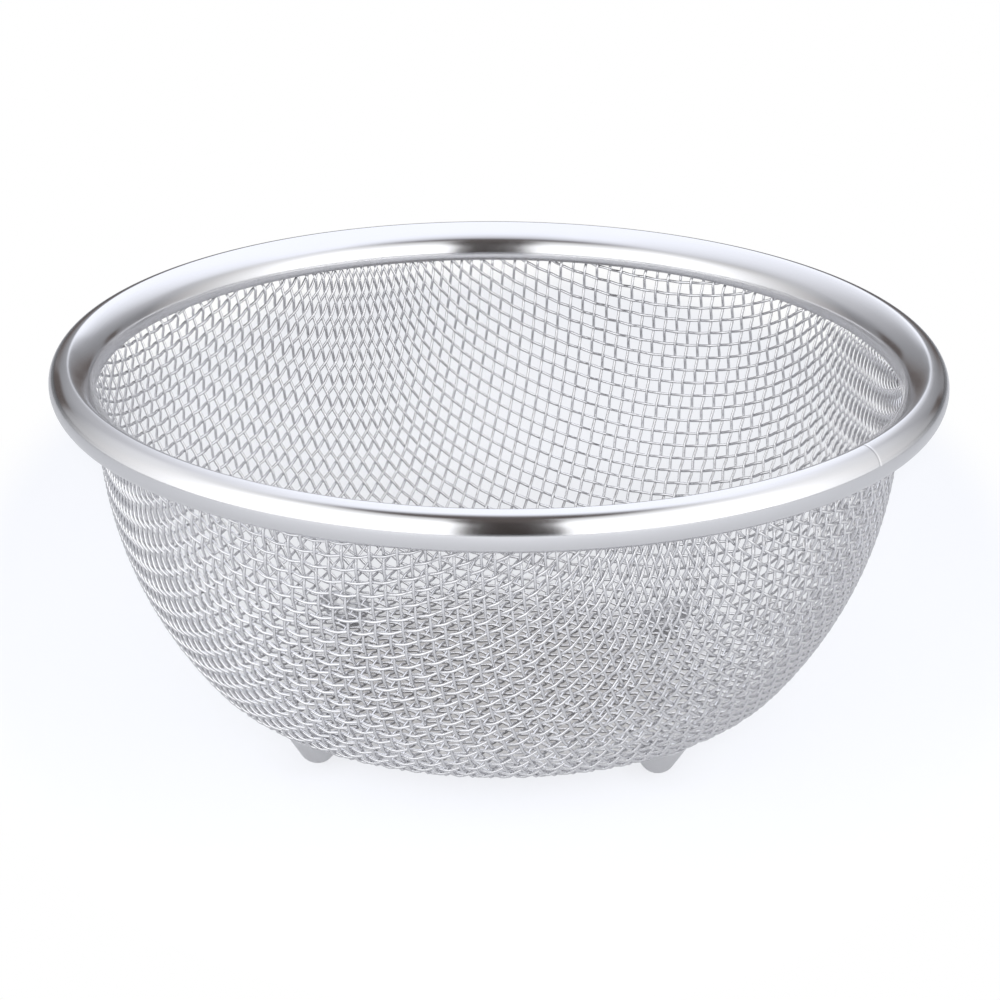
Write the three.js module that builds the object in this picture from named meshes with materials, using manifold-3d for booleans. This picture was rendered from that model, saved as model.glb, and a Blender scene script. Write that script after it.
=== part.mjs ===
// A round colander: a bowl of woven steel wire, hung from a hoop of steel tube and standing on
// four small pressed feet. Millimetres, +Z up. The origin lies on the table under the bowl's
// centre, and the front of the colander faces -Y.
import * as THREE from 'three';
import { mergeVertices } from 'three/addons/utils/BufferGeometryUtils.js';
import Module from 'manifold-3d';

const wasm = await Module();
wasm.setup();

const degree = Math.PI / 180;
const fullTurn = 2 * Math.PI;
const half = 0.5;

// Driving dimensions of the hoop
const hoopDiameter = 165;
const tubeDiameter = 7.8;
const tubeWall = 0.6;

// Driving dimensions of the wire cloth: ten meshes to the inch of half-millimetre wire
const wireDiameter = 0.5;
const wirePitch = 2.54;
const weaveTurn = -25 * degree;
const meshesPerGap = 5;

// Driving dimensions of the bowl, on the middle of the cloth, from the hoop down to the floor.
// Each lean is the slope of the cloth, where zero is flat and ninety degrees is upright.
const wallStraight = 11.25;
const wallLean = 83.2 * degree;
const wallArcRadius = 75;
const bendLean = 49.8 * degree;
const bendRadius = 15.8;
const sweepLean = 20 * degree;
const sweepRadius = 29.2;
const hemLean = 35 * degree;
const lipRadius = 1.1;

// Driving dimensions of a foot
const footCount = 4;
const footTurn = 42 * degree;
const footDrop = 4.3;
const footPastFloor = 4.95;
const footTipRadius = 0.85;
const footNoseRadius = 3.5;
const footFlankLean = 57 * degree;
const footSheet = 0.7;
const footTrim = 4;

// Air left between pieces that touch on the real colander
const fitGap = 0.3;

// Steps of the round shapes
const hoopSteps = 72;
const tubeSteps = 18;
const boreSteps = 8;
const bendSteps = 3;
const sweepSteps = 2;
const wallSteps = 5;
const lipSteps = 2;
const footSteps = 20;
const noseSteps = 3;

// Sizes that follow from the ones above
const hoopRadius = (hoopDiameter - tubeDiameter) / 2;
const tubeRadius = tubeDiameter / 2;
const clothHalf = wireDiameter;
const gapPitch = meshesPerGap * wirePitch;
const barWidth = meshesPerGap * wireDiameter;

// The wall hangs flush with the inner side of the tube, and the hem runs to the tube's middle.
const wallTopRadius = hoopRadius - tubeRadius - clothHalf;
const lipReach = lipRadius * (Math.sin(wallLean) - Math.sin(hemLean));
const hemLength = (hoopRadius - wallTopRadius - lipReach) / Math.cos(hemLean);
const wallReach = wallStraight * Math.cos(wallLean)
  + wallArcRadius * (Math.sin(wallLean) - Math.sin(bendLean));
const bendReach = bendRadius * (Math.sin(bendLean) - Math.sin(sweepLean))
  + sweepRadius * Math.sin(sweepLean);
const floorRadius = wallTopRadius - wallReach - bendReach;
const footCircleRadius = floorRadius + footPastFloor;

// Runs of the cloth from the middle of the floor to the end of the hem. A run goes from one
// lean to the other along its arc, or straight ahead where both are alike.
const runs = [
  { from: 0, to: 0, length: floorRadius, steps: 1 },
  { from: 0, to: sweepLean, length: sweepRadius * sweepLean, steps: sweepSteps },
  { from: sweepLean, to: bendLean, length: bendRadius * (bendLean - sweepLean), steps: bendSteps },
  { from: bendLean, to: wallLean, length: wallArcRadius * (wallLean - bendLean), steps: wallSteps },
  { from: wallLean, to: wallLean, length: wallStraight, steps: 1 },
  { from: wallLean, to: hemLean, length: lipRadius * (wallLean - hemLean), steps: lipSteps },
  { from: hemLean, to: hemLean, length: hemLength, steps: 1 },
];
const wallTopRun = 5;
const sum = (list) => list.reduce((total, run) => total + run.length, 0);
const clothRadius = sum(runs);
const wallTopLength = sum(runs.slice(0, wallTopRun));

// The gaps stop short of the lip by the width of a bar, which leaves a closed band there.
const gapsEnd = wallTopLength - barWidth;

// How far one run goes out and up over its first stretch
function advance(run, stretch) {
  const turn = run.to - run.from;
  if (turn === 0) {
    return [stretch * Math.cos(run.from), stretch * Math.sin(run.from)];
  }
  const radius = run.length / turn;
  const lean = run.from + stretch / radius;
  return [
    radius * (Math.sin(lean) - Math.sin(run.from)),
    radius * (Math.cos(run.from) - Math.cos(lean)),
  ];
}

// Radius, height and lean of the cloth at a length measured along it from the floor's middle
function clothAt(length) {
  let radius = 0;
  let height = footDrop + clothHalf;
  let left = length;
  for (const run of runs) {
    const stretch = Math.min(left, run.length);
    const [out, up] = advance(run, stretch);
    radius += out;
    height += up;
    left -= stretch;
    if (left <= 0 || run === runs.at(-1)) {
      const lean = run.from + (run.to - run.from) * (stretch / run.length);
      return { radius, height, lean };
    }
  }
}
const hoopHeight = clothAt(clothRadius).height;

// A point of the section, moved square to the cloth: outward and down where offset is positive
function sectionPoint(length, offset) {
  const { radius, height, lean } = clothAt(length);
  return new THREE.Vector2(
    radius + offset * Math.sin(lean),
    height - offset * Math.cos(lean),
  );
}

// Lengths along the cloth at the ends of all steps, from the start of one run to that of another
function stepLengths(first, last) {
  const lengths = [sum(runs.slice(0, first))];
  for (const run of runs.slice(first, last)) {
    const start = lengths.at(-1);
    for (let step = 1; step <= run.steps; step += 1) {
      lengths.push(start + run.length * step / run.steps);
    }
  }
  return lengths;
}

function solidOf(geometry) {
  const bare = geometry.clone();
  bare.deleteAttribute('normal');
  bare.deleteAttribute('uv');
  const merged = mergeVertices(bare);
  return new wasm.Manifold(new wasm.Mesh({
    numProp: 3,
    vertProperties: Float32Array.from(merged.attributes.position.array),
    triVerts: Uint32Array.from(merged.index.array),
  }));
}

function geometryOf(solid) {
  const mesh = solid.getMesh();
  const geometry = new THREE.BufferGeometry();
  geometry.setAttribute('position', new THREE.BufferAttribute(mesh.vertProperties, 3));
  geometry.setIndex(new THREE.BufferAttribute(mesh.triVerts, 1));
  return geometry;
}

// A profile turned about the upright axis. It goes round its material anticlockwise, seen with
// the axis on the left, so that the faces point outward.
function lathe(profile, steps) {
  return new THREE.LatheGeometry(profile, steps).rotateX(Math.PI / 2);
}

const satinSteel = { roughness: 0.38, metalness: 1 };
const brightSteel = { roughness: 0.16, metalness: 1 };

function named(name, geometry, colour, finish) {
  const material = new THREE.MeshStandardMaterial({ color: colour, ...finish });
  const mesh = new THREE.Mesh(geometry, material);
  mesh.name = name;
  return mesh;
}

// The wire cloth, drawn flat and then pressed into the bowl. It has a gap for every few meshes
// of the real cloth, between bars as much wider, so as much of it is open. The flat drawing is
// a list of faces between ruled lines, and a face across the edge is cut there along a chord.
function crossingOf(inside, outside, radius) {
  const step = outside.clone().sub(inside);
  const a = step.lengthSq();
  const b = inside.dot(step);
  const c = inside.lengthSq() - radius * radius;
  const share = (Math.sqrt(b * b - a * c) - b) / a;
  return inside.clone().addScaledVector(step, share);
}

// The part of a flat face that lies within a circle round the middle, or outside it
function clipped(face, radius, keepInside) {
  const kept = [];
  face.forEach((corner, index) => {
    const next = face[(index + 1) % face.length];
    const isIn = corner.length() < radius;
    const nextIn = next.length() < radius;
    if (isIn === keepInside) {
      kept.push(corner);
    }
    if (isIn !== nextIn) {
      kept.push(isIn ? crossingOf(corner, next, radius) : crossingOf(next, corner, radius));
    }
  });
  return kept;
}

function ruledLines() {
  const lines = [];
  const count = Math.ceil(clothRadius / gapPitch);
  for (let bar = -count; bar <= count; bar += 1) {
    lines.push(bar * gapPitch - barWidth * half, bar * gapPitch + barWidth * half);
  }
  return lines;
}

function flatFaces() {
  const faces = [];
  const lines = ruledLines();
  for (let i = 0; i + 1 < lines.length; i += 1) {
    for (let j = 0; j + 1 < lines.length; j += 1) {
      const face = [
        new THREE.Vector2(lines[i], lines[j]),
        new THREE.Vector2(lines[i + 1], lines[j]),
        new THREE.Vector2(lines[i + 1], lines[j + 1]),
        new THREE.Vector2(lines[i], lines[j + 1]),
      ];
      const isGap = i % 2 === 1 && j % 2 === 1;
      if (!isGap) {
        faces.push(clipped(face, gapsEnd, true));
      }
      faces.push(clipped(clipped(face, gapsEnd, false), wallTopLength, true));
    }
  }
  return faces.filter((face) => face.length > 2);
}

// Faces of the lip and the hem, outside the edge of the faces that are given
function hemFaces(edge) {
  const faces = [];
  const lengths = stepLengths(wallTopRun, runs.length);
  for (let ring = 0; ring + 1 < lengths.length; ring += 1) {
    for (const [start, end] of edge) {
      faces.push([
        start.clone().setLength(lengths[ring]),
        end.clone().setLength(lengths[ring]),
        end.clone().setLength(lengths[ring + 1]),
        start.clone().setLength(lengths[ring + 1]),
      ].reverse());
    }
  }
  return faces;
}

const keyDigits = 4;
const keyOf = (corner) => `${corner.x.toFixed(keyDigits)} ${corner.y.toFixed(keyDigits)}`;

// Sides of faces that no other face shares, in the order that their own face runs
function openSides(faces) {
  const sides = new Map();
  for (const face of faces) {
    face.forEach((corner, index) => {
      const next = face[(index + 1) % face.length];
      sides.set(`${keyOf(corner)} ${keyOf(next)}`, [corner, next]);
    });
  }
  return [...sides.values()].filter(([a, b]) => !sides.has(`${keyOf(b)} ${keyOf(a)}`));
}

// A flat point, turned to the lie of the weave and pressed into the bowl
function pressed(corner, offset) {
  const spot = sectionPoint(corner.length(), offset);
  const angle = corner.angle() + weaveTurn;
  return new THREE.Vector3(spot.x * Math.cos(angle), spot.x * Math.sin(angle), spot.y);
}

function meshBowl() {
  const weave = flatFaces();
  const pastGaps = (gapsEnd + wallTopLength) / 2;
  const edge = openSides(weave).filter((side) => side.every((end) => end.length() > pastGaps));
  const faces = [...weave, ...hemFaces(edge)];
  const points = [];
  const numbers = new Map();
  const numberOf = (corner, offset) => {
    const key = `${keyOf(corner)} ${offset}`;
    if (!numbers.has(key)) {
      numbers.set(key, points.length);
      points.push(pressed(corner, offset));
    }
    return numbers.get(key);
  };
  const triangles = [];
  for (const face of faces) {
    const over = face.map((corner) => numberOf(corner, -clothHalf));
    const under = face.map((corner) => numberOf(corner, clothHalf));
    for (let corner = 1; corner + 1 < face.length; corner += 1) {
      triangles.push(over[0], over[corner], over[corner + 1]);
      triangles.push(under[0], under[corner + 1], under[corner]);
    }
  }
  for (const [start, end] of openSides(faces)) {
    const corners = [
      numberOf(start, -clothHalf),
      numberOf(start, clothHalf),
      numberOf(end, clothHalf),
      numberOf(end, -clothHalf),
    ];
    triangles.push(corners[0], corners[1], corners[2]);
    triangles.push(corners[0], corners[2], corners[3]);
  }
  const geometry = new THREE.BufferGeometry().setFromPoints(points);
  geometry.setIndex(triangles);
  return named('mesh_bowl', geometry, 0xc9cad0, satinSteel);
}

// The hoop is a tube with a slot that faces in and down, where the hem of the cloth goes in.
function rimTube() {
  const slotAngle = Math.PI + hemLean;
  const slotHalf = clothHalf + fitGap;
  const arc = (radius, steps) => {
    const margin = Math.asin(slotHalf / radius);
    const points = [];
    for (let step = 0; step <= steps; step += 1) {
      const angle = slotAngle + margin + (fullTurn - 2 * margin) * step / steps;
      points.push(new THREE.Vector2(
        hoopRadius + radius * Math.cos(angle),
        hoopHeight + radius * Math.sin(angle),
      ));
    }
    return points;
  };
  const profile = [
    ...arc(tubeRadius, tubeSteps),
    ...arc(tubeRadius - tubeWall, boreSteps).reverse(),
  ];
  profile.push(profile[0].clone());
  return named('rim_tube', lathe(profile, hoopSteps), 0xd9dade, brightSteel);
}

// All that lies over the feet: the bowl filled in, with air round it
function bowlAndAir() {
  const gap = clothHalf + fitGap;
  const outline = stepLengths(0, wallTopRun).map((length) => sectionPoint(length, gap));
  outline.push(new THREE.Vector2(0, outline.at(-1).y));
  return solidOf(lathe(outline, hoopSteps));
}

// A foot is a blunt cone pressed from sheet, with a small flat tip, open where it meets the
// cloth. Its upper edge is trimmed to the shape of the bowl.
function footBlank() {
  const tipAngle = Math.asin(footTipRadius / footNoseRadius);
  const noseHeight = footNoseRadius * Math.cos(tipAngle);
  const top = footDrop + footTrim;
  const side = (radius) => {
    const points = [];
    for (let step = 0; step <= noseSteps; step += 1) {
      const angle = tipAngle + (footFlankLean - tipAngle) * step / noseSteps;
      points.push(new THREE.Vector2(
        radius * Math.sin(angle),
        noseHeight - radius * Math.cos(angle),
      ));
    }
    const flank = points.at(-1);
    const flare = (top - flank.y) / Math.tan(footFlankLean);
    points.push(new THREE.Vector2(flank.x + flare, top));
    return points;
  };
  const outside = side(footNoseRadius);
  const inside = side(footNoseRadius - footSheet).reverse();
  const middle = (point) => new THREE.Vector2(0, point.y);
  return lathe([middle(outside[0]), ...outside, ...inside, middle(inside.at(-1))], footSteps);
}

function feet() {
  const cutter = bowlAndAir();
  return Array.from({ length: footCount }, (_, index) => {
    const angle = footTurn + fullTurn * index / footCount;
    const x = footCircleRadius * Math.cos(angle);
    const y = footCircleRadius * Math.sin(angle);
    const blank = solidOf(footBlank().rotateZ(angle).translate(x, y, 0));
    const name = `foot_${y < 0 ? 'front' : 'back'}_${x < 0 ? 'left' : 'right'}`;
    return named(name, geometryOf(blank.subtract(cutter)), 0xb9bbc0, satinSteel);
  });
}

const colander = new THREE.Group();
colander.add(meshBowl(), rimTube(), ...feet());
export default colander;
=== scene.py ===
"""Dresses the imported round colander: woven wire bowl, rolled rim and four pressed feet."""

import math

import bpy
import numpy as np
from mathutils import Matrix, Vector


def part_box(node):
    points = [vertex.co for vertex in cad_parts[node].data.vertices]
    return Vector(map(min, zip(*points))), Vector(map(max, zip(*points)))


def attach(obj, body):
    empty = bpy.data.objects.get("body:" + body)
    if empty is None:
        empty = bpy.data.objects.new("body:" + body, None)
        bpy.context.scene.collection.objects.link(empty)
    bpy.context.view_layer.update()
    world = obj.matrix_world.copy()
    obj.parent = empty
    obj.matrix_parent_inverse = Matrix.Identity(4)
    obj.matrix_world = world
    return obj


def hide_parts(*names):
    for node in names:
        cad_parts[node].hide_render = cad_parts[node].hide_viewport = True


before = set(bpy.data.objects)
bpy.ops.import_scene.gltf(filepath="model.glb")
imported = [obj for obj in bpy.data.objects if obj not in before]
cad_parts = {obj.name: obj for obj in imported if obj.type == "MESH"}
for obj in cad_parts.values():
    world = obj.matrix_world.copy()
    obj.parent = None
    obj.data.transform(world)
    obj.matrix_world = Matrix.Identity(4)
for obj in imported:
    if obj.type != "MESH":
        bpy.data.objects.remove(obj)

bl_info = {
    "name": "Round wire colander",
    "version": (1, 0, 0),
    "blender": (4, 5, 0),
    "location": "View3D > Sidebar > Colander",
    "description": "Weaves the bowl, rolls the rim and presses the feet of a wire colander",
    "category": "Object",
}

# All lengths are in metres. UV_SCALE is how many units of the map of runs are in a metre.
MM = 0.001
UV_SCALE = 100
GRAIN_DEPTH = 0.02 * MM
FEET = ("foot_front_left", "foot_front_right", "foot_back_left", "foot_back_right")
RIM_LOW, RIM_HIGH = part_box("rim_tube")
BOWL_LOW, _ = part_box("mesh_bowl")

# Line of the cloth from the middle of the floor to the end of the hem: each run is its
# first lean, its last lean and its length. These are the runs of the CAD bowl. The last is
# longer by the hem in hand, so that the net still has nodes past the ends of the wires.
FLOOR_RADIUS = 39.029 * MM
SWEEP_RADIUS = 29.2 * MM
SWEEP_LEAN = math.radians(20.0)
BEND_RADIUS = 15.8 * MM
BEND_LEAN = math.radians(49.8)
WALL_ARC_RADIUS = 75.0 * MM
WALL_LEAN = math.radians(83.2)
WALL_STRAIGHT = 11.25 * MM
LIP_RADIUS = 1.1 * MM
HEM_LEAN = math.radians(35.0)
HEM_LENGTH = 4.808 * MM
HEM_IN_HAND = 5.5 * MM
HALF_CLOTH = 0.5 * MM
RUNS = (
    (0.0, 0.0, FLOOR_RADIUS),
    (0.0, SWEEP_LEAN, SWEEP_RADIUS * SWEEP_LEAN),
    (SWEEP_LEAN, BEND_LEAN, BEND_RADIUS * (BEND_LEAN - SWEEP_LEAN)),
    (BEND_LEAN, WALL_LEAN, WALL_ARC_RADIUS * (WALL_LEAN - BEND_LEAN)),
    (WALL_LEAN, WALL_LEAN, WALL_STRAIGHT),
    (WALL_LEAN, HEM_LEAN, LIP_RADIUS * (WALL_LEAN - HEM_LEAN)),
    (HEM_LEAN, HEM_LEAN, HEM_LENGTH + HEM_IN_HAND),
)
HEM_END = sum(length for _, _, length in RUNS) - HEM_IN_HAND


class ClothSizes(bpy.types.PropertyGroup):
    """Sizes of the woven wire cloth."""

    wire_diameter: bpy.props.FloatProperty(
        name="Wire diameter",
        description="Thickness of one wire",
        default=0.5 * MM, min=0.1 * MM, max=2 * MM,
        subtype="DISTANCE", unit="LENGTH", precision=5,
    )
    mesh_pitch: bpy.props.FloatProperty(
        name="Mesh pitch",
        description="Distance from one wire to the next, ten wires to the inch",
        default=2.54 * MM, min=1 * MM, max=20 * MM,
        subtype="DISTANCE", unit="LENGTH", precision=5,
    )
    weave_turn: bpy.props.FloatProperty(
        name="Weave turn",
        description="Turn of the straight wires about the bowl's axis",
        default=math.radians(-25), subtype="ANGLE", unit="ROTATION",
    )
    wire_sides: bpy.props.IntProperty(
        name="Wire sides",
        description="Faces round one wire",
        default=6, min=5, max=16,
    )
    steps_per_mesh: bpy.props.IntProperty(
        name="Steps per mesh",
        description="Rings along a wire between two crossings",
        default=4, min=2, max=12,
    )


class RimSizes(bpy.types.PropertyGroup):
    """Sizes of the rolled rim."""

    tube_diameter: bpy.props.FloatProperty(
        name="Tube diameter",
        description="Height of the rolled tube",
        default=RIM_HIGH.z - RIM_LOW.z, min=2 * MM, max=20 * MM,
        subtype="DISTANCE", unit="LENGTH", precision=5,
    )
    sheet: bpy.props.FloatProperty(
        name="Sheet",
        description="Thickness of the sheet that the tube is rolled from",
        default=0.6 * MM, min=0.2 * MM, max=2 * MM,
        subtype="DISTANCE", unit="LENGTH", precision=5,
    )
    seam_turn: bpy.props.FloatProperty(
        name="Seam turn",
        description="Place of the butt weld round the hoop",
        default=math.radians(-36.7), subtype="ANGLE", unit="ROTATION",
    )
    hoop_steps: bpy.props.IntProperty(
        name="Hoop steps",
        description="Steps round the hoop",
        default=320, min=48, max=1024,
    )


class FootSizes(bpy.types.PropertyGroup):
    """Sizes of a pressed foot."""

    tip_radius: bpy.props.FloatProperty(
        name="Tip radius",
        description="Radius of the flat under the foot",
        default=0.85 * MM, min=0.1 * MM, max=4 * MM,
        subtype="DISTANCE", unit="LENGTH", precision=5,
    )
    nose_radius: bpy.props.FloatProperty(
        name="Nose radius",
        description="Radius of the round end of the cone",
        default=3.5 * MM, min=0.5 * MM, max=8 * MM,
        subtype="DISTANCE", unit="LENGTH", precision=5,
    )
    flank_lean: bpy.props.FloatProperty(
        name="Flank lean",
        description="Slope of the cone's flank from level",
        default=math.radians(57), subtype="ANGLE", unit="ROTATION",
    )
    sheet: bpy.props.FloatProperty(
        name="Sheet",
        description="Thickness of the sheet that the foot is pressed from",
        default=0.7 * MM, min=0.2 * MM, max=2 * MM,
        subtype="DISTANCE", unit="LENGTH", precision=5,
    )
    gap: bpy.props.FloatProperty(
        name="Gap",
        description="Gap between the foot's edge and the cloth",
        default=0.3 * MM, min=0.0, max=1 * MM,
        subtype="DISTANCE", unit="LENGTH", precision=5,
    )
    round_steps: bpy.props.IntProperty(
        name="Round steps",
        description="Steps round one foot",
        default=96, min=12, max=256,
    )


class Finish(bpy.types.PropertyGroup):
    """Colours and gloss of the steel."""

    steel_colour: bpy.props.FloatVectorProperty(
        name="Steel",
        description="Colour of the polished steel",
        default=(0.72, 0.72, 0.735), size=3, min=0, max=1, subtype="COLOR",
    )
    satin_colour: bpy.props.FloatVectorProperty(
        name="Satin steel",
        description="Colour of the pressed feet",
        default=(0.72, 0.72, 0.735), size=3, min=0, max=1, subtype="COLOR",
    )
    wire_colour: bpy.props.FloatVectorProperty(
        name="Drawn wire", description="Colour of the drawn wire",
        default=(0.72, 0.72, 0.735), size=3, min=0, max=1, subtype="COLOR",
    )
    rim_roughness: bpy.props.FloatProperty(
        name="Rim roughness", description="Roughness of the polished tube",
        default=0.15, min=0, max=1, subtype="FACTOR",
    )
    wire_roughness: bpy.props.FloatProperty(
        name="Wire roughness", description="Roughness of the drawn wire",
        default=0.15, min=0, max=1, subtype="FACTOR",
    )
    foot_roughness: bpy.props.FloatProperty(
        name="Foot roughness", description="Roughness of the satin feet",
        default=0.38, min=0, max=1, subtype="FACTOR",
    )


class StageSizes(bpy.types.PropertyGroup):
    """Floor, light and camera."""

    floor_reach: bpy.props.FloatProperty(
        name="Floor reach",
        description="Half the width of the floor",
        default=12.0, min=1.0, subtype="DISTANCE", unit="LENGTH",
    )
    lamp_power: bpy.props.FloatProperty(
        name="Lamp power", description="Power of the lamp in line with the camera",
        default=22.0, min=0.0, unit="POWER",
    )
    lamp_distance: bpy.props.FloatProperty(
        name="Lamp distance", description="Distance from that lamp to the middle of the hoop",
        default=1.1, min=0.2, subtype="DISTANCE", unit="LENGTH",
    )
    camera_distance: bpy.props.FloatProperty(
        name="Camera distance",
        description="Distance from the camera to the middle of the hoop",
        default=0.759, min=0.2, subtype="DISTANCE", unit="LENGTH",
    )
    camera_elevation: bpy.props.FloatProperty(
        name="Camera elevation",
        description="Angle at which the camera looks down on the middle of the hoop",
        default=math.radians(19.59), subtype="ANGLE", unit="ROTATION",
    )
    aim_below: bpy.props.FloatProperty(
        name="Aim below",
        description="How far under the middle of the hoop the camera aims",
        default=math.radians(1.788), subtype="ANGLE", unit="ROTATION",
    )
    aim_aside: bpy.props.FloatProperty(
        name="Aim aside",
        description="How far to the right of the middle of the hoop the camera aims",
        default=math.radians(0.028), subtype="ANGLE", unit="ROTATION",
    )
    camera_roll: bpy.props.FloatProperty(
        name="Camera roll",
        description="Small turn of the camera about its own line of sight",
        default=math.radians(0.437), subtype="ANGLE", unit="ROTATION",
    )
    lens: bpy.props.FloatProperty(
        name="Lens", description="Focal length in millimetres on a 36 mm frame",
        default=148.4, min=10, max=500, unit="CAMERA",
    )


# Section of the cloth


def walk_runs(steps=2400):
    """Length, radius, height and lean at many points along the cloth's line."""
    height = BOWL_LOW.z + HALF_CLOTH
    radius = start = 0.0
    rows = []
    for first, last, length in RUNS:
        shares = np.linspace(0.0, 1.0, steps // len(RUNS), endpoint=False)
        stretch = shares * length
        lean = first + (last - first) * shares
        if first == last:
            out, up = stretch * math.cos(first), stretch * math.sin(first)
            step_out, step_up = length * math.cos(first), length * math.sin(first)
        else:
            bend = length / (last - first)
            out = bend * (np.sin(lean) - math.sin(first))
            up = bend * (math.cos(first) - np.cos(lean))
            step_out = bend * (math.sin(last) - math.sin(first))
            step_up = bend * (math.cos(first) - math.cos(last))
        rows.append(np.stack([start + stretch, radius + out, height + up, lean], axis=1))
        radius += step_out
        height += step_up
        start += length
    rows.append(np.array([[start, radius, height, RUNS[-1][1]]]))
    return np.concatenate(rows)


SECTION = walk_runs()


def section_at(length):
    """Radius, height and lean of the cloth's line at a length along it."""
    return tuple(np.interp(length, SECTION[:, 0], SECTION[:, k]) for k in (1, 2, 3))


def cloth_point(flat, offset):
    """Points of the cloth from their place on the flat pattern, moved out by offset."""
    length = np.hypot(flat[:, 0], flat[:, 1])
    turn = np.arctan2(flat[:, 1], flat[:, 0])
    radius, height, lean = section_at(length)
    out = np.stack([np.cos(turn), np.sin(turn), np.zeros_like(turn)], axis=1)
    normal = out * np.sin(lean)[:, None]
    normal[:, 2] = -np.cos(lean)
    point = out * radius[:, None]
    point[:, 2] = height
    return point + normal * offset[:, None], normal


# Net of the cloth. Wires keep their spacing when the flat cloth is pressed to a bowl, and the
# square meshes shear to diamonds between the two directions in which a wire crosses the middle.


def net_node(across, along, pitch):
    """Node at one pitch from two known nodes, as length and turn, by Newton's method.
    The guess lies half a mesh's diagonal past the middle of the two."""
    most_turn, length_done, turn_done, least_slope = 0.3, 1e-10, 1e-8, 1e-18
    known = [spot(*across), spot(*along)]
    middle = known[0] + known[1]
    turn = math.atan2(middle[1], middle[0])
    length = (across[0] + along[0]) / 2 + 0.7 * pitch
    for _ in range(30):
        radius, height, lean = section_at(length)
        point = np.array([radius * math.cos(turn), radius * math.sin(turn), height])
        by_length = np.array([
            math.cos(lean) * math.cos(turn), math.cos(lean) * math.sin(turn), math.sin(lean),
        ])
        by_turn = np.array([-point[1], point[0], 0.0])
        gaps = [point - place for place in known]
        miss = np.array([gap @ gap - pitch * pitch for gap in gaps])
        slope = np.array([[2 * gap @ by_length, 2 * gap @ by_turn] for gap in gaps])
        if abs(np.linalg.det(slope)) < least_slope:
            return None
        step = np.linalg.solve(slope, miss)
        length -= min(max(step[0], -pitch / 2), pitch / 2)
        turn -= min(max(step[1], -most_turn), most_turn)
        if abs(step[0]) < length_done and abs(step[1]) < turn_done:
            return length, turn
    return None


def spot(length, turn):
    """Point of the cloth's middle at a length and a turn."""
    radius, height, _ = section_at(length)
    return np.array([radius * math.cos(turn), radius * math.sin(turn), height])


def quarter_net(pitch):
    """Nodes of one quarter of the cloth between its two straight wires."""
    reach = float(SECTION[-1, 0])
    count = int(reach / pitch)
    net = {}
    for step in range(count + 1):
        net[(step, 0)] = (step * pitch, 0.0)
        net[(0, step)] = (step * pitch, math.pi / 2)
    for total in range(2, 2 * count + 1):
        for i in range(1, total):
            j = total - i
            if (i - 1, j) in net and (i, j - 1) in net:
                found = net_node(net[(i - 1, j)], net[(i, j - 1)], pitch)
                if found and 0 < found[1] < math.pi / 2 and found[0] <= reach:
                    net[(i, j)] = found
    return net


def whole_net(quarter, turn):
    """Places on the flat pattern of all nodes, the four quarters turned into place."""
    places = {}
    for (i, j), (length, angle) in quarter.items():
        for _ in range(4):
            places[(i, j)] = length * np.array([math.cos(angle + turn), math.sin(angle + turn)])
            i, j, angle = -j, i, angle + math.pi / 2
    return places


def smooth_run(nodes, steps):
    """Smooth line through a wire's nodes, carried on straight for one mesh at both ends."""
    for _ in range(2):
        nodes = np.concatenate([[2 * nodes[0] - nodes[1]], nodes, [2 * nodes[-1] - nodes[-2]]])
    before, here, after, beyond = (
        part[:, None, :] for part in (nodes[:-3], nodes[1:-2], nodes[2:-1], nodes[3:]))
    t = (np.arange(steps) / steps)[None, :, None]
    line = 0.5 * (
        2 * here + (after - before) * t
        + (2 * before - 5 * here + 4 * after - beyond) * t ** 2
        + (3 * here - before - 3 * after + beyond) * t ** 3
    )
    return line.reshape(-1, 2)


def wire_lines(places, family, sizes):
    """Middle line and normals of each wire of one family, by the wire's number. A wire is cut
    off at the end of the hem, and left out where less than three meshes of it remain."""
    least = 3
    rows = {}
    for (i, j), place in places.items():
        number, along = (i, j) if family == 0 else (j, i)
        rows.setdefault(number, {})[along] = place
    crimp = sizes.wire_diameter / 2 * (1 if family == 0 else -1)
    steps = sizes.steps_per_mesh
    lines = {}
    for number, row in sorted(rows.items()):
        keys = sorted(row)
        if len(keys) < least:
            continue
        flat = smooth_run(np.array([row[k] for k in keys]), steps)
        along = keys[0] - 1 + np.arange(len(flat)) / steps
        inside = np.hypot(flat[:, 0], flat[:, 1]) <= HEM_END
        if inside.sum() < least * steps:
            continue
        first, last = np.flatnonzero(inside)[[0, -1]]
        flat, along = flat[first:last + 1], along[first:last + 1]
        offset = crimp * np.cos(math.pi * (along + number))
        lines[number] = cloth_point(flat, offset)
    return lines


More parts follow.
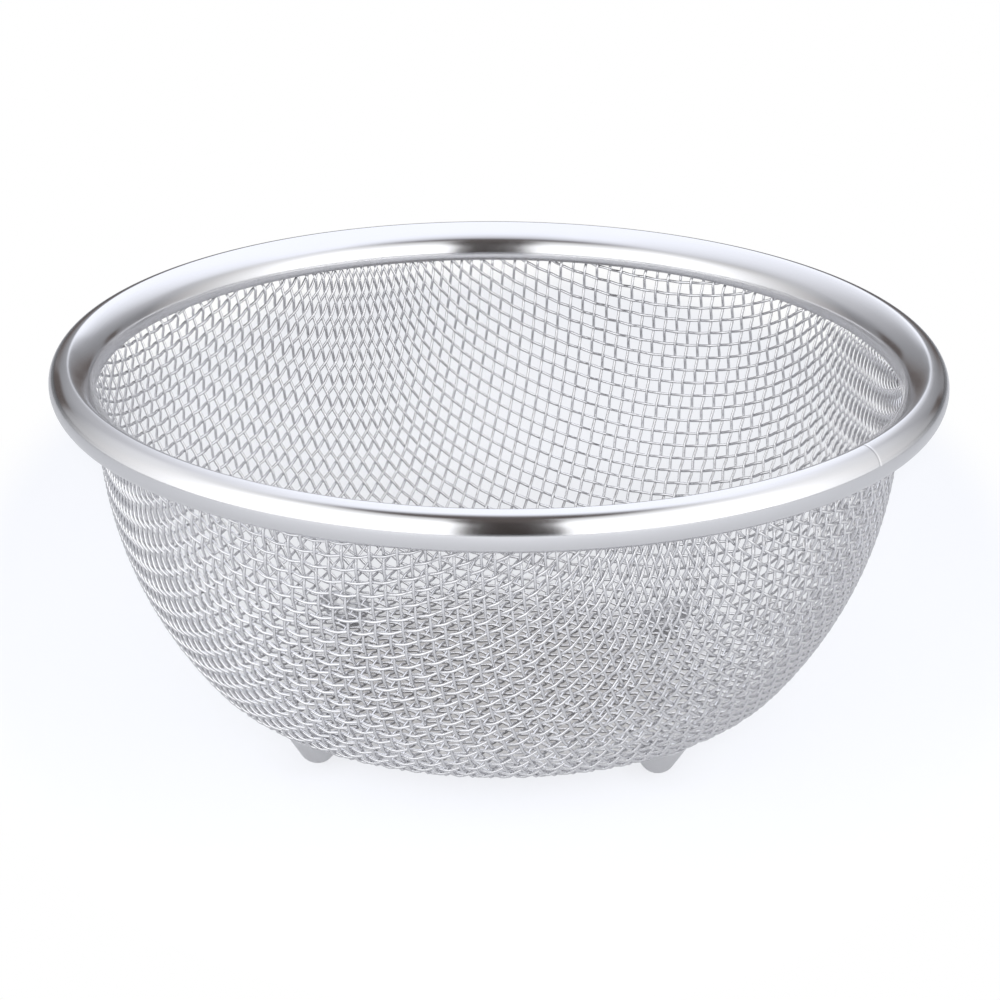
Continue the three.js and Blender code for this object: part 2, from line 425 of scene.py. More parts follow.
class MeshParts:
    """Gathers points and faces of one piece, with a map of its runs along and around."""

    def __init__(self):
        self.points, self.faces, self.sizes, self.runs = [], [], [], []
        self.count = 0

    def add(self, points):
        """Adds points and gives the number of the first."""
        start = self.count
        self.points.append(points)
        self.count += len(points)
        return start

    def add_faces(self, faces, runs):
        """Adds faces of one size, each with the map's places of its corners."""
        self.faces.append(faces.reshape(-1))
        self.sizes.append(np.full(len(faces), faces.shape[1]))
        self.runs.append(runs.reshape(-1, 2))

    def sweep(self, rings, along, around, closed_along=False, closed_around=True):
        """Skins rings of points, shaped (rings, points, 3)."""
        count, sides = rings.shape[:2]
        start = self.add(rings.reshape(-1, 3))
        m = np.arange(count if closed_along else count - 1)[:, None]
        k = np.arange(sides if closed_around else sides - 1)[None, :]
        m2, k2 = (m + 1) % count, (k + 1) % sides
        corners = [m * sides + k, m * sides + k2, m2 * sides + k2, m2 * sides + k]
        faces = np.stack(np.broadcast_arrays(*corners), axis=-1).reshape(-1, 4) + start
        spots = [(m, k), (m, k + 1), (m + 1, k + 1), (m + 1, k)]
        runs = [np.stack(np.broadcast_arrays(along[a], around[b]), -1) for a, b in spots]
        self.add_faces(faces, np.stack(runs, axis=2))
        return start

    def cap(self, start, sides, flip, run):
        """Closes the end of a sweep."""
        order = np.arange(sides) + start
        face = (order[::-1] if flip else order)[None, :]
        self.add_faces(face, np.tile(run, (1, sides, 1)))

    def build(self, name):
        """Makes the object."""
        mesh = bpy.data.meshes.new(name)
        points = np.concatenate(self.points).astype(np.float32)
        corners = np.concatenate(self.faces).astype(np.int32)
        sizes = np.concatenate(self.sizes).astype(np.int32)
        mesh.vertices.add(len(points))
        mesh.vertices.foreach_set("co", points.ravel())
        mesh.loops.add(len(corners))
        mesh.loops.foreach_set("vertex_index", corners)
        mesh.polygons.add(len(sizes))
        starts = np.concatenate([[0], np.cumsum(sizes)[:-1]]).astype(np.int32)
        mesh.polygons.foreach_set("loop_start", starts)
        mesh.polygons.foreach_set("loop_total", sizes)
        mesh.polygons.foreach_set("use_smooth", np.ones(len(sizes), bool))
        mesh.update(calc_edges=True)
        run_map = mesh.uv_layers.new(name="run")
        run_map.data.foreach_set("uv", np.concatenate(self.runs).astype(np.float32).ravel())
        mesh.validate()
        piece = bpy.data.objects.new(name, mesh)
        bpy.context.scene.collection.objects.link(piece)
        return piece


def run_along(points):
    """Length gone at each point of a line, in the map's units."""
    gone = np.linalg.norm(np.diff(points, axis=0), axis=1)
    return np.concatenate([[0.0], np.cumsum(gone)]) * UV_SCALE


def wire_piece(name, lines, sizes):
    """Round wires swept along their lines."""
    parts = MeshParts()
    sides = sizes.wire_sides
    # A ring of few sides is a little larger, so that its mean width is the wire's.
    ring_radius = sizes.wire_diameter / 2 * math.sqrt(
        2 * math.pi / (sides * math.sin(2 * math.pi / sides)))
    angles = 2 * math.pi * np.arange(sides) / sides
    around = np.arange(sides + 1) / sides
    for line, normal in lines:
        heading = np.gradient(line, axis=0)
        heading /= np.linalg.norm(heading, axis=1)[:, None]
        normal = normal - heading * np.sum(normal * heading, axis=1)[:, None]
        normal /= np.linalg.norm(normal, axis=1)[:, None]
        side = np.cross(heading, normal)
        rings = line[:, None, :] + ring_radius * (
            np.cos(angles)[None, :, None] * normal[:, None, :]
            + np.sin(angles)[None, :, None] * side[:, None, :])
        along = run_along(line)
        start = parts.sweep(rings, along, around)
        parts.cap(start, sides, True, (along[0], 0.5))
        parts.cap(start + (len(line) - 1) * sides, sides, False, (along[-1], 0.5))
    return parts.build(name)


# Finishes


def new_group(name, inputs, outputs):
    """An empty node group with its named sockets."""
    group = bpy.data.node_groups.new(name, "ShaderNodeTree")
    for label, kind, value in inputs:
        socket = group.interface.new_socket(name=label, in_out="INPUT", socket_type=kind)
        if value is not None:
            socket.default_value = value
    for label, kind in outputs:
        group.interface.new_socket(name=label, in_out="OUTPUT", socket_type=kind)
    return group, group.nodes.new("NodeGroupInput"), group.nodes.new("NodeGroupOutput")


def node(tree, kind, inputs=(), **settings):
    """Adds a node, sets it up and feeds its inputs."""
    made = tree.nodes.new(kind)
    for key, value in settings.items():
        setattr(made, key, value)
    for key, value in dict(inputs).items():
        if isinstance(value, bpy.types.NodeSocket):
            tree.links.new(value, made.inputs[key])
        else:
            made.inputs[key].default_value = value
    return made


def maths(tree, operation, *values):
    """A Math node's result."""
    return node(tree, "ShaderNodeMath", dict(enumerate(values)), operation=operation).outputs[0]


def vectors(tree, operation, *values, **named):
    """A Vector Math node."""
    given = {**dict(enumerate(values)), **named}
    return node(tree, "ShaderNodeVectorMath", given, operation=operation)


def new_material(name):
    """A material with an empty node tree."""
    material = bpy.data.materials.new(name)
    material.use_nodes = True
    material.node_tree.nodes.clear()
    return material


def ramp(tree, value, low, high, start=0.0, end=1.0, soft=True):
    """Carries value from low..high to start..end."""
    made = node(tree, "ShaderNodeMapRange", {
        "Value": value, "From Min": low, "From Max": high, "To Min": start, "To Max": end,
    }, interpolation_type="SMOOTHSTEP" if soft else "LINEAR")
    return made.outputs["Result"]


def drawn_grain_group():
    """Fine lines that a die or a polishing wheel leaves along the run of the metal."""
    group, given, made = new_group("Drawn grain", [
        ("Run", "NodeSocketVector", None),
        ("Lines", "NodeSocketFloat", 12.0),
        ("Length", "NodeSocketFloat", 0.4),
    ], [("Grain", "NodeSocketFloat")])
    along = node(group, "ShaderNodeSeparateXYZ", {0: given.outputs["Run"]})
    stretched = node(group, "ShaderNodeCombineXYZ", {
        0: maths(group, "MULTIPLY", along.outputs[0], given.outputs["Length"]),
        1: maths(group, "MULTIPLY", along.outputs[1], given.outputs["Lines"]),
    })
    noise = node(group, "ShaderNodeTexNoise", {
        "Vector": stretched.outputs[0], "Scale": 1.0, "Detail": 3.0, "Roughness": 0.6,
    })
    group.links.new(noise.outputs["Fac"], made.inputs["Grain"])
    return group


def handling_group():
    """Cloudy smears left by washing and handling."""
    group, given, made = new_group("Handling smears", [
        ("Size", "NodeSocketFloat", 90.0),
        ("Amount", "NodeSocketFloat", 0.05),
        ("Roughness", "NodeSocketFloat", 0.2),
    ], [("Roughness", "NodeSocketFloat")])
    place = node(group, "ShaderNodeTexCoord").outputs["Object"]
    noise = node(group, "ShaderNodeTexNoise", {
        "Vector": place, "Scale": given.outputs["Size"], "Detail": 4.0, "Distortion": 0.6,
    })
    smear = ramp(group, noise.outputs["Fac"], 0.35, 0.7)
    swing = maths(group, "MULTIPLY", maths(group, "SUBTRACT", smear, 0.5), given.outputs["Amount"])
    total = maths(group, "ADD", given.outputs["Roughness"], swing)
    group.links.new(total, made.inputs["Roughness"])
    return group


def tone_group():
    """Slow drift of the steel's colour between a lighter and a darker grey."""
    group, given, made = new_group("Steel tone", [
        ("Steel", "NodeSocketColor", None),
        ("Drift", "NodeSocketFloat", 0.05),
        ("Grain", "NodeSocketFloat", 0.5),
    ], [("Colour", "NodeSocketColor")])
    place = node(group, "ShaderNodeTexCoord").outputs["Object"]
    noise = node(group, "ShaderNodeTexNoise", {"Vector": place, "Scale": 38.0, "Detail": 2.0})
    swing = maths(group, "SUBTRACT", noise.outputs["Fac"], 0.5)
    line = maths(group, "SUBTRACT", given.outputs["Grain"], 0.5)
    both = maths(group, "ADD", swing, maths(group, "MULTIPLY", line, 0.5))
    level = maths(group, "ADD", 1.0, maths(group, "MULTIPLY", both, given.outputs["Drift"]))
    scaled = vectors(group, "SCALE", given.outputs["Steel"], Scale=level)
    group.links.new(scaled.outputs[0], made.inputs["Colour"])
    return group


def shared_groups():
    """The three effects that the finishes share, built once."""
    makers = {
        "Drawn grain": drawn_grain_group,
        "Handling smears": handling_group,
        "Steel tone": tone_group,
    }
    return {
        name: bpy.data.node_groups.get(name) or make() for name, make in makers.items()
    }


def steel(name, colour, roughness, smear, lines, length, bump):
    """A steel finish with grain along its run, smears and a drifting tone."""
    material = bpy.data.materials.get(name)
    if material:
        return material
    groups = shared_groups()
    material = new_material(name)
    tree = material.node_tree
    grain = node(tree, "ShaderNodeGroup", {
        "Run": node(tree, "ShaderNodeUVMap", uv_map="run").outputs[0],
        "Lines": lines, "Length": length,
    }, node_tree=groups["Drawn grain"])
    smears = node(tree, "ShaderNodeGroup", {
        "Amount": smear, "Roughness": roughness,
    }, node_tree=groups["Handling smears"])
    tone = node(tree, "ShaderNodeGroup", {
        "Steel": (*colour, 1.0), "Grain": grain.outputs["Grain"],
    }, node_tree=groups["Steel tone"])
    raised = node(tree, "ShaderNodeBump", {
        "Height": grain.outputs["Grain"], "Strength": bump, "Distance": GRAIN_DEPTH,
    })
    shader = node(tree, "ShaderNodeBsdfPrincipled", {
        "Base Color": tone.outputs["Colour"], "Roughness": smears.outputs["Roughness"],
        "Normal": raised.outputs["Normal"], "Metallic": 1.0,
    })
    node(tree, "ShaderNodeOutputMaterial", {"Surface": shader.outputs[0]})
    return material


def dress(piece, material, slot, *nodes):
    """Gives a piece its finish and puts it in place of its CAD nodes."""
    piece.data.materials.append(material)
    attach(piece, "root")
    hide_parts(*nodes)
    return piece


# Pieces


class WeaveCloth(bpy.types.Operator):
    """Weaves the bowl from its two families of wires."""

    bl_idname = "colander.weave_cloth"
    bl_label = "Weave the bowl"

    def execute(self, context):
        sizes, finish = context.scene.colander_cloth, context.scene.colander_finish
        places = whole_net(quarter_net(sizes.mesh_pitch), sizes.weave_turn)
        material = steel("Drawn wire", finish.wire_colour, finish.wire_roughness,
                         smear=0.06, lines=9.0, length=6.0, bump=0.25)
        for family, label in enumerate(("warp", "weft")):
            lines = wire_lines(places, family, sizes)
            if not lines:
                raise RuntimeError("the cloth has no wires")
            halves = {
                "left": [line for number, line in lines.items() if number < 0],
                "right": [line for number, line in lines.items() if number >= 0],
            }
            for half, chosen in halves.items():
                piece = wire_piece(f"{label}_wires_{half}", chosen, sizes)
                dress(piece, material, "woven_wire", "mesh_bowl")
        return {"FINISHED"}


# How tightly the sheet of the rim bends, against the tube's radius, from its lower edge round
# the outside and over the top to its upper edge. The turn is that of the outward face, where
# zero faces away from the bowl and ninety degrees faces up.
RIM_TURNS = np.radians((-139, 78, 85, 112, 118, 124, 129, 134, 165, 193))
RIM_BEND_SHARES = (1.0, 1.0, 0.3, 0.3, 2.6, 4.5, 3.1, 1.15, 1.2, 0.75)

# The weld is ground to a shallow line across the tube.
SEAM_DEPTH = 0.05 * MM
SEAM_WIDTH = 0.22 * MM
SEAM_STEPS = np.radians(np.arange(-10, 11) * 0.08)
SEAM_REACH = math.radians(1)


def rim_section(sizes, steps=133, fine_steps=4001):
    """Outline of the rolled sheet, outside and inside, with rounded edges at the slot, and
    the way in from each point of its outside. Points are out and up from the tube's middle."""
    radius = sizes.tube_diameter / 2
    turns = np.linspace(RIM_TURNS[0], RIM_TURNS[-1], steps)
    fine = np.linspace(RIM_TURNS[0], RIM_TURNS[-1], fine_steps)
    bend = radius * np.interp(fine, RIM_TURNS, RIM_BEND_SHARES)
    step = fine[1] - fine[0]
    gone = np.stack([-np.sin(fine), np.cos(fine)], axis=1) * bend[:, None] * step
    gone = np.concatenate([[[0.0, 0.0]], np.cumsum((gone[1:] + gone[:-1]) / 2, axis=0)])
    start = radius * np.array([math.cos(RIM_TURNS[0]), math.sin(RIM_TURNS[0])])
    line = start + np.stack([np.interp(turns, fine, gone[:, k]) for k in (0, 1)], axis=1)
    face = np.stack([np.cos(turns), np.sin(turns)], axis=1)
    outside, inside = line, (line - face * sizes.sheet)[::-1]

    def edge(start, end):
        """Half round from start to end, away from the sheet."""
        middle, half = (start + end) / 2, (start - end) / 2
        onward = np.array([-half[1], half[0]])
        turns = np.linspace(0, math.pi, 6)[1:-1]
        return [middle + half * math.cos(t) + onward * math.sin(t) for t in turns]

    points = [*outside, *edge(outside[-1], inside[0]), *inside, *edge(inside[-1], outside[0])]
    inward = np.zeros((len(points), 2))
    inward[:len(outside)] = -face
    return np.array(points), inward


class RollRim(bpy.types.Operator):
    """Rolls the rim's tube, with its slot and its ground weld seam."""

    bl_idname = "colander.roll_rim"
    bl_label = "Roll the rim"

    def execute(self, context):
        sizes, finish = context.scene.colander_rim, context.scene.colander_finish
        section, inward = rim_section(sizes)
        middle = RIM_HIGH.x - sizes.tube_diameter / 2
        height = RIM_HIGH.z - sizes.tube_diameter / 2
        turns = 2 * math.pi * np.arange(sizes.hoop_steps) / sizes.hoop_steps
        seam = sizes.seam_turn % (2 * math.pi)
        near = np.abs(turns - seam) < SEAM_REACH
        turns = np.sort(np.concatenate([turns[~near], seam + SEAM_STEPS]))
        off = (turns - seam + math.pi) % (2 * math.pi) - math.pi
        groove = SEAM_DEPTH * np.exp(-(off * middle / SEAM_WIDTH) ** 2)
        shape = section[None] + inward[None] * groove[:, None, None]
        rings = np.stack([
            (middle + shape[..., 0]) * np.cos(turns)[:, None],
            (middle + shape[..., 0]) * np.sin(turns)[:, None],
            height + shape[..., 1],
        ], axis=-1)
        around = run_along(np.concatenate([section, section[:1]]))
        along = np.append(turns, turns[0] + 2 * math.pi) * middle * UV_SCALE
        parts = MeshParts()
        parts.sweep(rings, along, around, closed_along=True)
        piece = parts.build("rolled_rim")
        material = steel("Polished tube", finish.steel_colour, finish.rim_roughness,
                         smear=0.05, lines=26.0, length=0.25, bump=0.12)
        dress(piece, material, "polished_tube", "rim_tube")
        return {"FINISHED"}


# Where a foot stands from the middle, the points on the flat of its tip, how far down the
# rounding of its edge reaches against the sheet, and the width of its map round it.
FOOT_REACH = FLOOR_RADIUS + 4.95 * MM
TIP_SHARES = (0.3, 0.6, 0.85)
SHOULDER_SHARE = 0.3
FLANK_MAP_WIDTH = 4.0


def foot_profile(sizes):
    """Outer and inner face of the foot's sheet, each from the flat of the tip to the foot of
    the flank, as radius and height."""
    tip_angle = math.asin(sizes.tip_radius / sizes.nose_radius)
    nose_height = sizes.nose_radius * math.cos(tip_angle)
    faces = []
    for radius in (sizes.nose_radius, sizes.nose_radius - sizes.sheet):
        angles = np.linspace(tip_angle, sizes.flank_lean, 12)
        nose = np.stack([radius * np.sin(angles), nose_height - radius * np.cos(angles)], 1)
        flat = nose[0] * np.array([[share, 1] for share in TIP_SHARES])
        faces.append(np.concatenate([flat, nose]))
    return faces


def foot_top(flank, centre, turn, lean, gap):
    """Radius and height at which the flank meets the underside of the cloth, found by
    halving the stretch of flank in which they meet."""
    low, high = 0.0, 12 * MM
    under_radius = SECTION[:-2, 1] + gap * np.sin(SECTION[:-2, 3])
    under_height = SECTION[:-2, 2] - gap * np.cos(SECTION[:-2, 3])
    for _ in range(40):
        up = (low + high) / 2
        radius = flank[0] + up / math.tan(lean)
        x = centre[0] + radius * math.cos(turn)
        y = centre[1] + radius * math.sin(turn)
        roof = np.interp(math.hypot(x, y), under_radius, under_height)
        low, high = (up, high) if flank[1] + up < roof else (low, up)
    return np.array([flank[0] + low / math.tan(lean), flank[1] + low])


def foot_rings(centre, sizes, gap):
    """Rings of the foot's skin, one for each step round it: up the outer face, over the
    rounded edge and down the inner face."""
    outer, inner = foot_profile(sizes)
    shares = np.linspace(0, 1, 8)[1:, None]
    t = np.linspace(0, 1, 7)[1:-1, None]
    flank = np.array([math.cos(sizes.flank_lean), math.sin(sizes.flank_lean)])
    shoulder = SHOULDER_SHARE * sizes.sheet
    rings = []
    for step in range(sizes.round_steps):
        turn = 2 * math.pi * step / sizes.round_steps
        out_top = foot_top(outer[-1], centre, turn, sizes.flank_lean, gap)
        in_top = foot_top(inner[-1], centre, turn, sizes.flank_lean, gap)
        out_end, in_end = out_top - flank * shoulder, in_top - flank * shoulder
        rise = outer[-1] + (out_end - outer[-1]) * shares
        fall = inner[-1] + (in_end - inner[-1]) * shares
        bend = ((1 - t) ** 3 * out_end + 3 * (1 - t) ** 2 * t * out_top
                + 3 * (1 - t) * t ** 2 * in_top + t ** 3 * in_end)
        skin = np.concatenate([outer, rise, bend, fall[::-1], inner[::-1]])
        rings.append(np.stack([
            centre[0] + skin[:, 0] * math.cos(turn),
            centre[1] + skin[:, 0] * math.sin(turn),
            skin[:, 1],
        ], axis=1))
    return np.array(rings)


class PressFeet(bpy.types.Operator):
    """Presses the four feet and sets each under the cloth."""

    bl_idname = "colander.press_feet"
    bl_label = "Press the feet"

    def execute(self, context):
        scene = context.scene
        sizes, finish = scene.colander_foot, scene.colander_finish
        material = steel("Satin sheet", finish.satin_colour, finish.foot_roughness,
                         smear=0.08, lines=30.0, length=1.2, bump=0.3)
        gap = scene.colander_cloth.wire_diameter + sizes.gap
        for name in FEET:
            low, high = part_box(name)
            turn = math.atan2(low.y + high.y, low.x + high.x)
            centre = (FOOT_REACH * math.cos(turn), FOOT_REACH * math.sin(turn))
            rings = foot_rings(centre, sizes, gap)
            count, sides = rings.shape[:2]
            around = run_along(rings[0])
            along = np.arange(count + 1) / count * FLANK_MAP_WIDTH
            parts = MeshParts()
            start = parts.sweep(rings, along, around, closed_along=True, closed_around=False)
            order = np.arange(count) * sides + start
            for faces, run in ((order[::-1], around[0]), (order + sides - 1, around[-1])):
                parts.add_faces(faces[None, :], np.tile((0.0, run), (1, count, 1)))
            piece = parts.build("pressed_" + name)
            dress(piece, material, "satin_sheet", name)
        return {"FINISHED"}


# Stage. A fade below is where it starts and ends, in metres or in degrees, and then the levels
# there, unless these are 0 and 1.


def product(tree, first, second):
    """Two values multiplied."""
    return maths(tree, "MULTIPLY", first, second)


def layer(tree, under, mask, level):
    """Lays a level over another where the mask is one."""
    return node(tree, "ShaderNodeMix", {"Factor": mask, "A": under, "B": level}).outputs[0]


def mix_colours(tree, mask, colours):
    """The first colour where the mask is nought and the second where it is one."""
    made = node(tree, "ShaderNodeMix", {0: mask, 6: colours[0], 7: colours[1]}, data_type="RGBA")
    return made.outputs[2]


def mix_shaders(tree, mask, first, second):
    """The first shader where the mask is nought and the second where it is one."""
    given = {0: mask, 1: first.outputs[0], 2: second.outputs[0]}
    return node(tree, "ShaderNodeMixShader", given)


# The table is painted darker under the flat floor of the bowl, a painted shade, and what the steel
# mirrors of it is painted darker still. Far from the bowl the mirrored table fades, most of all
# towards the front.
PAINTED_SHADE_MIDDLE = (0.0, 5 * MM, 0.0)
SEEN_PAINTED_SHADE_EDGE = (0.024, 0.052)
SEEN_PAINTED_SHADE_COLOURS = ((0.5, 0.48, 0.475, 1), (0.57, 0.59, 0.645, 1))
MIRRORED_PAINTED_SHADE_EDGE = (0.028, 0.045)
MIRRORED_PAINTED_SHADE_COLOURS = ((0.26, 0.25, 0.245, 1), (0.41, 0.415, 0.43, 1))
NEAR_EDGE = (0.33, 0.46)
FAR_LEVEL = (-0.15, 0.1, 0.15, 0.55)

# The camera sees the table glow as white, and less so under the bowl and in an oval round it,
# where the table keeps the shadow. These are the oval's middle, its half widths, its edge and
# the shares of the glow.
OVAL_MIDDLE = 0.07
OVAL_WIDTHS = (0.1, 0.17)
OVAL_EDGE = (1.0, 1.16)
GLOW_UNDER, GLOW_BESIDE, GLOW_OPEN = 0.22, 0.58, 1.0
MIRRORED_GLOW = (0.04, 0.1)


def floor_material():
    """Pale floor, white to the camera where it is open, with the object's shadow and painted shade
    under the bowl.
    """
    material = new_material("Pale floor")
    tree = material.node_tree
    path = node(tree, "ShaderNodeLightPath")
    mirrored = maths(tree, "MAXIMUM", path.outputs["Is Glossy Ray"],
                     path.outputs["Is Transmission Ray"])
    shape = node(tree, "ShaderNodeNewGeometry")
    place = shape.outputs["Position"]
    from_painted_shade = vectors(tree, "SUBTRACT", place, PAINTED_SHADE_MIDDLE).outputs["Vector"]
    from_painted_shade = vectors(tree, "LENGTH", from_painted_shade).outputs["Value"]
    # Painted shade: the table's colour is darker under the bowl, and darker still in what the
    # steel mirrors.
    beside = ramp(tree, from_painted_shade, *SEEN_PAINTED_SHADE_EDGE)
    seen = mix_colours(tree, beside, SEEN_PAINTED_SHADE_COLOURS)
    shown = mix_colours(tree, ramp(tree, from_painted_shade, *MIRRORED_PAINTED_SHADE_EDGE), MIRRORED_PAINTED_SHADE_COLOURS)
    far = vectors(tree, "LENGTH", place).outputs["Value"]
    x, y, _ = node(tree, "ShaderNodeSeparateXYZ", {0: place}).outputs
    fading = layer(tree, 1.0, ramp(tree, far, *NEAR_EDGE), ramp(tree, y, *FAR_LEVEL))
    level = layer(tree, 1.0, mirrored, fading)
    pale = mix_colours(tree, mirrored, (seen, shown))
    table = vectors(tree, "SCALE", pale, Scale=level).outputs[0]
    across = maths(tree, "DIVIDE", x, OVAL_WIDTHS[0])
    along = maths(tree, "DIVIDE", maths(tree, "SUBTRACT", y, OVAL_MIDDLE), OVAL_WIDTHS[1])
    from_oval = maths(tree, "SQRT", maths(
        tree, "ADD", maths(tree, "POWER", across, 2.0), maths(tree, "POWER", along, 2.0)))
    kept = layer(tree, GLOW_UNDER, beside, GLOW_BESIDE)
    glow_seen = layer(tree, kept, ramp(tree, from_oval, *OVAL_EDGE), GLOW_OPEN)
    glow_shown = ramp(tree, from_painted_shade, *MIRRORED_PAINTED_SHADE_EDGE, *MIRRORED_GLOW)
    share = maths(tree, "ADD", product(tree, path.outputs["Is Camera Ray"], glow_seen),
                  product(tree, mirrored, glow_shown))
    matt = node(tree, "ShaderNodeBsdfDiffuse", {"Color": table})
    glow = node(tree, "ShaderNodeEmission", {"Color": (1, 1, 1, 1), "Strength": level})
    lit = mix_shaders(tree, share, matt, glow)
    clear = node(tree, "ShaderNodeBsdfTransparent")
    both = mix_shaders(tree, shape.outputs["Backfacing"], lit, clear)
    node(tree, "ShaderNodeOutputMaterial", {"Surface": both.outputs[0]})
    return material


def within(tree, value, low, high, soft):
    """One where value lies between low and high, and nought outside, with soft edges."""
    return product(tree, ramp(tree, value, low - soft, low + soft),
                   ramp(tree, value, high - soft, high + soft, 1.0, 0.0))


def degrees_aside(tree, x, y):
    """Degrees round the upright axis from the camera's side."""
    return product(tree, maths(tree, "ARCTAN2", x, product(tree, y, -1.0)), 180 / math.pi)


# The studio's walls by their bearing: the level of the wall rises with height, is low on the
# camera's side and low overhead. The dark places are given by their lowest and highest degree
# aside and the softness of that edge, and then the same up.
WALL_LEVEL = (8.0, 48.0, 0.31, 0.85)
FRONT_EDGE = (80.0, 130.0, 1.0, 0.0)
FRONT_LEVEL = (45.0, 72.0, 0.045, 0.1)
TOP_EDGE = (70.0, 88.0)
LEFT_DOOR = ((-155.0, -137.0, 2.5), (-10.0, 14.0, 2.5))
RIGHT_DOOR = ((138.0, 147.0, 2.0), (-10.0, 11.0, 2.0))
SKIRTING = ((158.0, 174.0, 4.0), (-20.0, 9.0, 5.0))
DARK_LEVEL = 0.12
TINT_LEVELS = (0.05, 0.35)
TINTS = ((1.15, 0.96, 0.9, 1), (0.97, 0.98, 1.03, 1))


def studio_world():
    """Grey studio walls, dark towards the camera, with two dark doorways and a skirting."""
    world = bpy.data.worlds.new("Studio")
    bpy.context.scene.world = world
    world.use_nodes = True
    tree = world.node_tree
    tree.nodes.clear()
    way = node(tree, "ShaderNodeTexCoord").outputs["Generated"]
    x, y, z = node(tree, "ShaderNodeSeparateXYZ", {0: way}).outputs
    up = product(tree, maths(tree, "ARCSINE", z), 180 / math.pi)
    aside = degrees_aside(tree, x, y)
    turned = maths(tree, "ABSOLUTE", aside)
    level = layer(tree, ramp(tree, up, *WALL_LEVEL), ramp(tree, turned, *FRONT_EDGE),
                  ramp(tree, up, *FRONT_LEVEL))
    level = layer(tree, level, ramp(tree, up, *TOP_EDGE), DARK_LEVEL)
    dark = 0.0
    for bearing, (sides, heights) in (
            (aside, LEFT_DOOR), (aside, RIGHT_DOOR), (turned, SKIRTING)):
        place = product(tree, within(tree, bearing, *sides), within(tree, up, *heights))
        dark = maths(tree, "MAXIMUM", dark, place)
    level = layer(tree, level, dark, DARK_LEVEL)
    tint = mix_colours(tree, ramp(tree, level, *TINT_LEVELS), TINTS)
    studio = node(tree, "ShaderNodeBackground", {"Color": tint, "Strength": level})
    white = node(tree, "ShaderNodeBackground", {"Color": (1, 1, 1, 1), "Strength": 1.0})
    camera = node(tree, "ShaderNodeLightPath").outputs["Is Camera Ray"]
    both = mix_shaders(tree, camera, studio, white)
    node(tree, "ShaderNodeOutputWorld", {"Surface": both.outputs[0]})


def screen_material(name, strength, colour, mask_of):
    """Light cloth that glows as strongly as its mask says, and is clear where it doesn't."""
    material = new_material(name)
    tree = material.node_tree
    place = node(tree, "ShaderNodeNewGeometry").outputs["Position"]
    x, y, z = node(tree, "ShaderNodeSeparateXYZ", {0: place}).outputs
    glow = node(tree, "ShaderNodeEmission", {"Color": (*colour, 1), "Strength": strength})
    clear = node(tree, "ShaderNodeBsdfTransparent")
    both = mix_shaders(tree, mask_of(tree, x, y, z), clear, glow)
    node(tree, "ShaderNodeOutputMaterial", {"Surface": both.outputs[0]})
    return material


# The front screen is a part of a drum round the object. Its slit for the camera widens with
# height, and its light fades round the sides, in degrees, and towards the top.
FRONT_RADIUS = 0.43
FRONT_HEIGHT = 1.3
FRONT_TURN = 138.0
FRONT_STEPS = 46
FRONT_STRENGTH = 1.75
FRONT_COLOUR = (0.985, 0.99, 1.0)
FRONT_SIDES = (66.0, 130.0, 1.0, 0.0)
FRONT_TOP = (0.42, 1.25, 1.0, 0.0)
SLIT_MIDDLE = 2.9
SLIT_HALF_WIDTH = (0.3, 0.8, 10.9, 18.0)
SLIT_EDGE = (-1.0, 2.5)

# The overhead screen is flat. It fades to both sides of its brightest line, to the front and
# to the back.
OVERHEAD_HALF_WIDTH = 0.6
OVERHEAD_FRONT = -0.15
OVERHEAD_BACK = 1.6
OVERHEAD_HEIGHT = 0.565
OVERHEAD_STRENGTH = 1.36
OVERHEAD_COLOUR = (0.95, 0.975, 1.05)
OVERHEAD_LINE = 0.07
OVERHEAD_SIDES = (0.13, 0.5, 1.0, 0.0)
OVERHEAD_FRONT_EDGE = (-0.138, 0.079)
OVERHEAD_BACK_EDGE = (1.2, 1.6, 1.0, 0.0)


def front_mask(tree, x, y, z):
    """Nought in the slit for the camera and full beside it, fading far round and upwards."""
    turn = degrees_aside(tree, x, y)
    off_slit = maths(tree, "ABSOLUTE", maths(tree, "SUBTRACT", turn, SLIT_MIDDLE))
    off_slit = maths(tree, "SUBTRACT", off_slit, ramp(tree, z, *SLIT_HALF_WIDTH))
    sides = ramp(tree, maths(tree, "ABSOLUTE", turn), *FRONT_SIDES, soft=False)
    mask = product(tree, sides, ramp(tree, off_slit, *SLIT_EDGE))
    return product(tree, mask, ramp(tree, z, *FRONT_TOP, soft=False))


def overhead_mask(tree, x, y, z):
    """Full over and behind the object, fading to the sides, the front and the back."""
    aside = maths(tree, "ABSOLUTE", maths(tree, "SUBTRACT", x, OVERHEAD_LINE))
    ends = product(tree, ramp(tree, y, *OVERHEAD_FRONT_EDGE), ramp(tree, y, *OVERHEAD_BACK_EDGE))
    return product(tree, ramp(tree, aside, *OVERHEAD_SIDES), ends)


def hang_screen(name, points, faces, material):
    """Hangs a light screen, which the camera doesn't see and which casts no shadow."""
    mesh = bpy.data.meshes.new(name)
    mesh.from_pydata(points, [], faces)
    mesh.materials.append(material)
    screen = bpy.data.objects.new(name, mesh)
    bpy.context.scene.collection.objects.link(screen)
    screen.visible_camera = False
    screen.visible_shadow = False


